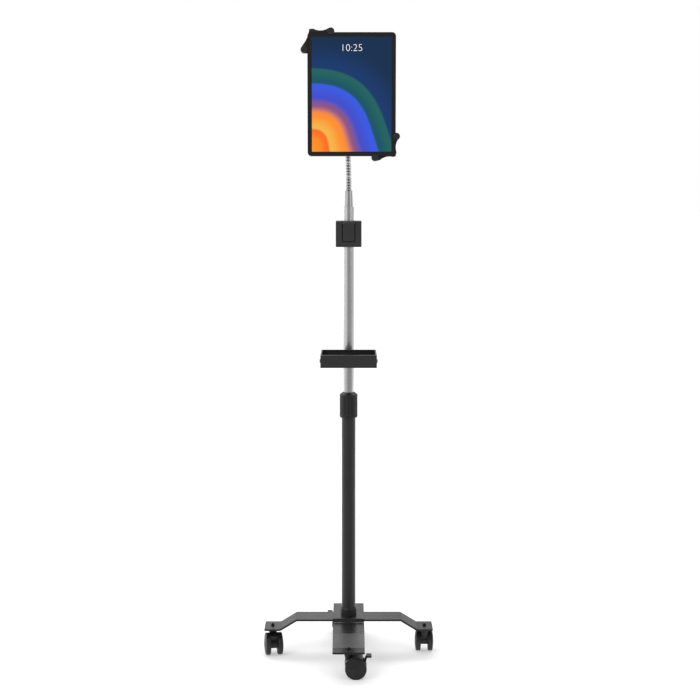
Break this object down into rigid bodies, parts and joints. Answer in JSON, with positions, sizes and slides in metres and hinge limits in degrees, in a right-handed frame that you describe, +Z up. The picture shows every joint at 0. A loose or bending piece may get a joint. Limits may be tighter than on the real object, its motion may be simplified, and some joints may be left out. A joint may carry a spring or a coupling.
{
  "type": "adjustable tablet floor stand",
  "caption": "Floor stand on braked casters with a telescopic pole, a sliding tray and clamp, and a bendable neck that ends in a clawed holder with a tablet.",
  "frame": {"origin": "centre of the whole part's box, on the floor under it", "axes": "+Z up, the tablet's screen faces -Y, +X to the right seen from the front"},
  "size_m": [0.3706, 0.3594, 1.3315],
  "materials": {
    "black_steel": "satin black powder coat",
    "tray_black": "satin black powder coat",
    "chrome_steel": "polished chrome plate",
    "bright_steel": "zinc-plated fasteners",
    "black_plastic": "fine moulded texture",
    "white_plastic": "unpainted nylon",
    "caster_tread": "hard smooth tread",
    "grip_rubber": "soft matt pad",
    "tablet_shell": "dark anodised look",
    "tablet_screen": "glossy dark screen"
  },
  "bodies": {
    "base": {"cross_leg": "black_steel", "long_leg": "black_steel", "foot_ferrule": "black_plastic", "base_bolt": "bright_steel", "foot_plug": "white_plastic", "lower_tube": "black_steel", "top_bush": "black_plastic", "caster_stems": "bright_steel"},
    "lock_collar": {"twist_collar": "black_plastic"},
    "pole_guide": {"tube_guide": "white_plastic"},
    "pole": {"upper_tube": "chrome_steel", "neck_ferrule": "bright_steel", "neck_link_1": "chrome_steel"},
    "clamp": {"clamp_front": "black_plastic", "clamp_rear": "black_plastic", "clamp_screws": "bright_steel", "clamp_sleeve": "white_plastic", "lever_pin": "bright_steel"},
    "clamp_lever": {"flip_lever": "black_plastic"},
    "tray": {"tray_pan": "tray_black", "tray_bracket": "tray_black", "tray_screws": "bright_steel", "tray_saddle": "black_plastic", "tray_strap": "black_plastic"},
    "tray_thumb_screw": {"tray_knob": "black_plastic"},
    "front_fork": {"front_hood": "black_plastic", "front_axle": "bright_steel"},
    "front_wheel_pair": {"front_wheels": "caster_tread"},
    "front_brake": {"front_brake_pedal": "black_plastic"},
    "rear_fork": {"rear_hood": "black_plastic", "rear_axle": "bright_steel"},
    "rear_wheel_pair": {"rear_wheels": "caster_tread"},
    "rear_brake": {"rear_brake_pedal": "black_plastic"},
    "left_fork": {"left_hood": "black_plastic", "left_axle": "bright_steel"},
    "left_wheel_pair": {"left_wheels": "caster_tread"},
    "right_fork": {"right_hood": "black_plastic", "right_axle": "bright_steel"},
    "right_wheel_pair": {"right_wheels": "caster_tread"},
    "neck_2": {"neck_link_2": "chrome_steel"},
    "neck_3": {"neck_link_3": "chrome_steel"},
    "neck_4": {"neck_link_4": "chrome_steel"},
    "neck_5": {"neck_link_5": "chrome_steel"},
    "neck_6": {"neck_link_6": "chrome_steel"},
    "neck_7": {"neck_link_7": "chrome_steel"},
    "neck_8": {"neck_link_8": "chrome_steel", "ball_stud": "bright_steel"},
    "socket": {"socket_cup": "black_plastic", "ball_nut": "black_plastic", "swivel_bolt": "bright_steel"},
    "holder": {"holder_housing": "black_plastic", "holder_cover": "black_plastic", "holder_screws": "bright_steel", "holder_pad": "grip_rubber", "tablet_body": "tablet_shell", "tablet_glass": "tablet_screen"},
    "claw_up": {"upper_claw": "black_plastic"},
    "claw_down": {"lower_claw": "black_plastic"},
    "gear": {"pinion": "white_plastic"}
  },
  "joints": [
    {"name": "collar_turn", "type": "hinge", "parent": "base", "child": "lock_collar", "pos_m": [-0.00074, 0.01225, 0.5199], "axis": [0, 0, 1], "range_deg": [0, 120]},
    {"name": "pole_height", "type": "slide", "parent": "base", "child": "pole_guide", "axis": [0, 0, 1], "range_m": [-0.05, 0.13]},
    {"name": "pole_swivel", "type": "hinge", "parent": "pole_guide", "child": "pole", "pos_m": [-0.00074, 0.01225, 0.33], "axis": [0, 0, 1], "continuous": true},
    {"name": "clamp_slide", "type": "slide", "parent": "pole", "child": "clamp", "axis": [0, 0, 1], "range_m": [-0.06, 0.02]},
    {"name": "clamp_lever_hinge", "type": "hinge", "parent": "clamp", "child": "clamp_lever", "pos_m": [-0.00074, -0.01225, 0.9342], "axis": [-1, 0, 0], "range_deg": [0, 100]},
    {"name": "tray_slide", "type": "slide", "parent": "pole", "child": "tray", "axis": [0, 0, 1], "range_m": [0, 0.15]},
    {"name": "tray_screw_turn", "type": "hinge", "parent": "tray", "child": "tray_thumb_screw", "pos_m": [-0.00074, 0.02725, 0.648], "axis": [0, 1, 0], "range_deg": [0, 270]},
    {"name": "front_swivel", "type": "hinge", "parent": "base", "child": "front_fork", "pos_m": [-0.00074, -0.15875, 0.055], "axis": [0, 0, 1], "continuous": true},
    {"name": "front_roll", "type": "hinge", "parent": "front_fork", "child": "front_wheel_pair", "pos_m": [0.01426, -0.15875, 0.0225], "axis": [0, 1, 0], "continuous": true},
    {"name": "front_brake_press", "type": "hinge", "parent": "front_fork", "child": "front_brake", "pos_m": [0.03002, -0.15875, 0.03481], "axis": [0, 1, 0], "range_deg": [0, 24]},
    {"name": "rear_swivel", "type": "hinge", "parent": "base", "child": "rear_fork", "pos_m": [-0.00074, 0.15925, 0.055], "axis": [0, 0, 1], "continuous": true},
    {"name": "rear_roll", "type": "hinge", "parent": "rear_fork", "child": "rear_wheel_pair", "pos_m": [-0.01574, 0.15925, 0.0225], "axis": [0, 1, 0], "continuous": true},
    {"name": "rear_brake_press", "type": "hinge", "parent": "rear_fork", "child": "rear_brake", "pos_m": [-0.0315, 0.15925, 0.03481], "axis": [0, -1, 0], "range_deg": [0, 24]},
    {"name": "left_swivel", "type": "hinge", "parent": "base", "child": "left_fork", "pos_m": [-0.16624, 0.01225, 0.055], "axis": [0, 0, 1], "continuous": true},
    {"name": "left_roll", "type": "hinge", "parent": "left_fork", "child": "left_wheel_pair", "pos_m": [-0.16363, -0.00252, 0.0225], "axis": [0.9848, 0.1736, 0], "continuous": true},
    {"name": "right_swivel", "type": "hinge", "parent": "base", "child": "right_fork", "pos_m": [0.16476, 0.01225, 0.055], "axis": [0, 0, 1], "continuous": true},
    {"name": "right_roll", "type": "hinge", "parent": "right_fork", "child": "right_wheel_pair", "pos_m": [0.16476, 0.02725, 0.0225], "axis": [1, 0, 0], "continuous": true},
    {"name": "neck_pitch_1", "type": "hinge", "parent": "pole", "child": "neck_2", "pos_m": [-0.0009, 0.01225, 1.03317], "axis": [0.9998, 0, 0.0186], "range_deg": [-6, 6]},
    {"name": "neck_side_2", "type": "hinge", "parent": "neck_2", "child": "neck_3", "pos_m": [-0.00175, 0.01225, 1.06234], "axis": [0, 1, 0], "range_deg": [-5, 5]},
    {"name": "neck_pitch_3", "type": "hinge", "parent": "neck_3", "child": "neck_4", "pos_m": [-0.0026, 0.01225, 1.0915], "axis": [0.9999, 0, 0.017], "range_deg": [-6, 6]},
    {"name": "neck_side_4", "type": "hinge", "parent": "neck_4", "child": "neck_5", "pos_m": [-0.00249, 0.01225, 1.12067], "axis": [0, 1, 0], "range_deg": [-5, 5]},
    {"name": "neck_pitch_5", "type": "hinge", "parent": "neck_5", "child": "neck_6", "pos_m": [-0.00109, 0.01225, 1.14984], "axis": [0.9978, 0, -0.0658], "range_deg": [-6, 6]},
    {"name": "neck_side_6", "type": "hinge", "parent": "neck_6", "child": "neck_7", "pos_m": [0.00102, 0.00429, 1.17742], "axis": [0, 0.8314, 0.5556], "range_deg": [-5, 5]},
    {"name": "neck_pitch_7", "type": "hinge", "parent": "neck_7", "child": "neck_8", "pos_m": [0.00266, -0.01816, 1.19531], "axis": [0.9994, 0.0323, -0.0123], "range_deg": [-6, 6]},
    {"name": "ball_tilt", "type": "hinge", "parent": "neck_8", "child": "socket", "pos_m": [0.00296, -0.07595, 1.1984], "axis": [1, 0, 0], "range_deg": [-20, 20]},
    {"name": "holder_turn", "type": "hinge", "parent": "socket", "child": "holder", "pos_m": [0.00296, -0.10325, 1.1984], "axis": [0, 1, 0], "continuous": true},
    {"name": "upper_claw_slide", "type": "slide", "parent": "holder", "child": "claw_up", "axis": [-0.5848, 0, 0.8112], "range_m": [0, 0.025], "stiffness_N_per_m": 150, "springref_m": -0.02},
    {"name": "lower_claw_slide", "type": "slide", "parent": "holder", "child": "claw_down", "axis": [0.5848, 0, -0.8112], "range_m": [0, 0.025], "stiffness_N_per_m": 150, "springref_m": -0.02},
    {"name": "pinion_turn", "type": "hinge", "parent": "holder", "child": "gear", "pos_m": [0.00296, -0.10325, 1.1984], "axis": [0, 1, 0], "range_deg": [0, 159.3]}
  ],
  "couplings": [
    {"joint": "neck_pitch_3", "follows": "neck_pitch_1", "ratio": 1},
    {"joint": "neck_side_4", "follows": "neck_side_2", "ratio": 1},
    {"joint": "neck_pitch_5", "follows": "neck_pitch_1", "ratio": 1},
    {"joint": "neck_side_6", "follows": "neck_side_2", "ratio": 1},
    {"joint": "neck_pitch_7", "follows": "neck_pitch_1", "ratio": 1},
    {"joint": "lower_claw_slide", "follows": "upper_claw_slide", "ratio": 1},
    {"joint": "pinion_turn", "follows": "upper_claw_slide", "rad_per_m": 111.11}
  ]
}
